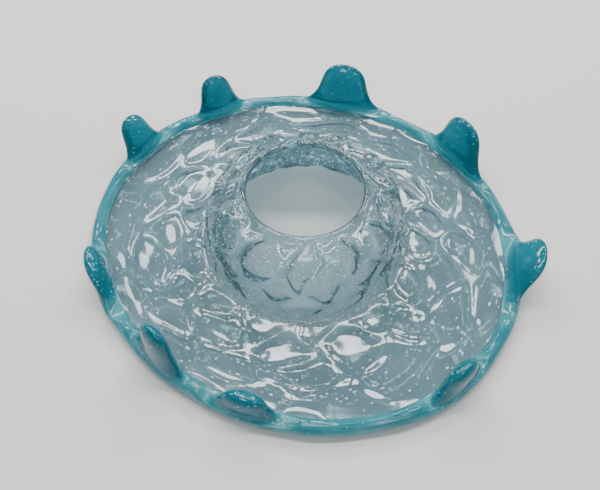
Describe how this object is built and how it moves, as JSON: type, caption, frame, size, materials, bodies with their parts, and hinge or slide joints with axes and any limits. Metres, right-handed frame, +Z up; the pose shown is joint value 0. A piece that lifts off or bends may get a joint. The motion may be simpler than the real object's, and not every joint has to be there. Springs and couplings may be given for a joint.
{
  "type": "glass lamp shade",
  "caption": "Hand-blown glass lamp shade like a wide-brimmed hat: clear quilted body with an open neck, and a coloured wrap round the brim pulled up into blunt points.",
  "frame": {"origin": "centre of the round neck opening, in the plane of its lip", "axes": "+Z up out of the neck along its axis, so the whole shade lies at z 0 and below; +X and +Y lie in the plane of the lip, and the brim's long axis lies 31.5 degrees clockwise from +X seen from above"},
  "size_m": [0.3125, 0.2904, 0.0614],
  "materials": {
    "clear_glass": "clear blown glass with a quilted optic pattern, full of fine seeds, very slightly aqua where it is thick, fire-polished",
    "turquoise_glass": "transparent turquoise glass with fine seeds, darker where it is thick, fire-polished"
  },
  "bodies": {
    "root": {"glass_body": "clear_glass", "lip_wrap": "turquoise_glass", "point_1": "turquoise_glass", "point_2": "turquoise_glass", "point_3": "turquoise_glass", "point_4": "turquoise_glass", "point_5": "turquoise_glass", "point_6": "turquoise_glass", "point_7": "turquoise_glass", "point_8": "turquoise_glass", "point_9": "turquoise_glass"}
  },
  "joints": []
}
